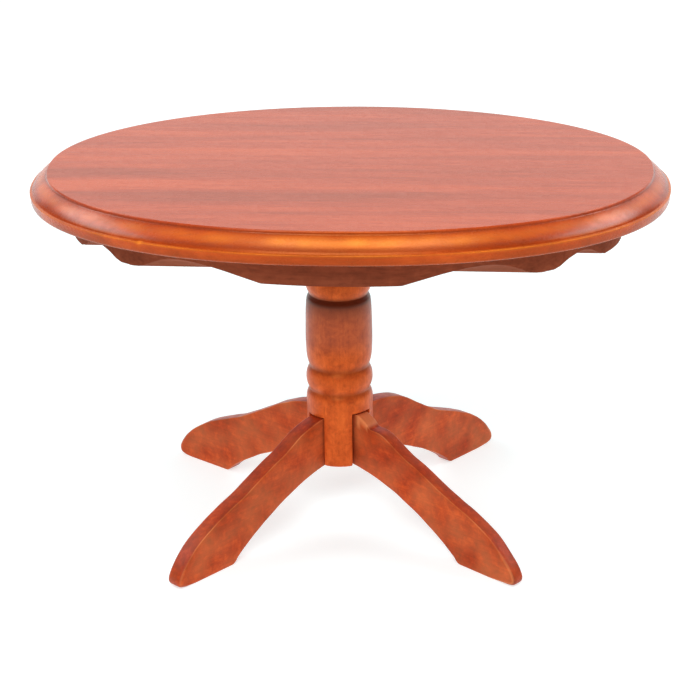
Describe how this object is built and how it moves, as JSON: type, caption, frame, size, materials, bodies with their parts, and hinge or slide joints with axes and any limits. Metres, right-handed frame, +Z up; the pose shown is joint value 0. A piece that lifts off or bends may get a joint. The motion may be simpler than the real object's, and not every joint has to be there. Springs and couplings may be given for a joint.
{
  "type": "miniature oval pedestal dining table",
  "caption": "Doll's-house oval dining table: moulded oval top on a scalloped apron block, turned pedestal column and splayed sawn plank legs glued into slots.",
  "frame": {"origin": "on the floor, under the middle of the oval top", "axes": "+X along the long axis of the top, +Z up, -Y towards the front"},
  "size_m": [0.12, 0.089, 0.0722],
  "materials": {
    "tabletop": "red-brown mahogany stain under a satin lacquer, grain along the long axis",
    "apron": "dark red-brown mahogany stain, satin",
    "column": "orange-brown mahogany stain, satin, turned, grain upright",
    "legs": "red-brown mahogany stain, satin, flecked sawn faces",
    "dowel": "bare pale hardwood"
  },
  "bodies": {
    "root": {"tabletop": "tabletop", "apron_block": "apron", "column": "column", "column_dowel": "dowel", "leg_front_left": "legs", "leg_front_right": "legs", "leg_back_left": "legs", "leg_back_right": "legs"}
  },
  "joints": []
}
